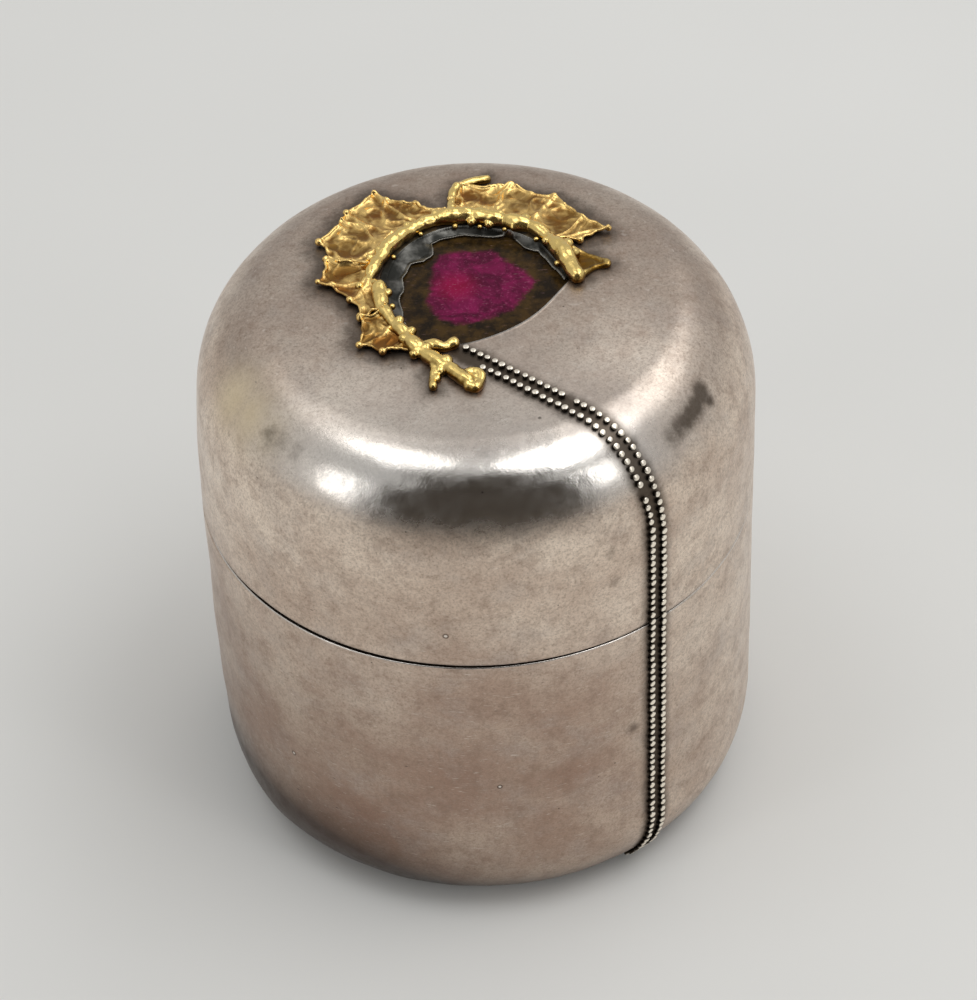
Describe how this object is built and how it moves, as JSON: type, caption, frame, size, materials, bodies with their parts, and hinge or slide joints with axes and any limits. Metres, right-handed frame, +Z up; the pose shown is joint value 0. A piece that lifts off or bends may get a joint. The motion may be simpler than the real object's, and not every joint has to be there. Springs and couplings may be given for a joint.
{
  "type": "pyx",
  "caption": "Round silver host box with a domed lift-off lid, a stone window framed in melted gold and granule rows down one side; it holds communion wafers.",
  "frame": {"origin": "centre of the flat underside that the box rests on", "axes": "+Z up the axis of the box, -Y towards the viewer of the picture, +X to the viewer's right"},
  "size_m": [0.08, 0.08, 0.0875],
  "materials": {
    "silver": "satin, tarnished, hand raised",
    "silver_inner": "satin",
    "silver_dark": "oxidised",
    "silver_beads": "bright tops, dark at the foot",
    "tourmaline": "polished",
    "gold": "melted, bright",
    "gold_leaf": "crinkled, satin"
  },
  "bodies": {
    "body": {"body_shell": "silver", "body_collar": "silver_inner", "body_granules_left": "silver_beads", "body_granules_right": "silver_beads"},
    "lid": {"lid_shell": "silver", "stone_tray": "silver_inner", "ragged_bezel": "silver_dark", "lid_granules_left": "silver_beads", "lid_granules_right": "silver_beads", "tourmaline_slice": "tourmaline", "gold_arc": "gold", "gold_branch": "gold", "gold_top_prong": "gold", "gold_right_loop": "gold", "gold_droplets": "gold", "gold_left_wing": "gold_leaf", "gold_side_wing": "gold_leaf", "gold_lower_wing": "gold_leaf", "gold_right_wing": "gold_leaf"}
  },
  "joints": [
    {"name": "lid_lift", "type": "slide", "parent": "body", "child": "lid", "axis": [0, 0, 1], "range_m": [0, 0.045]}
  ]
}
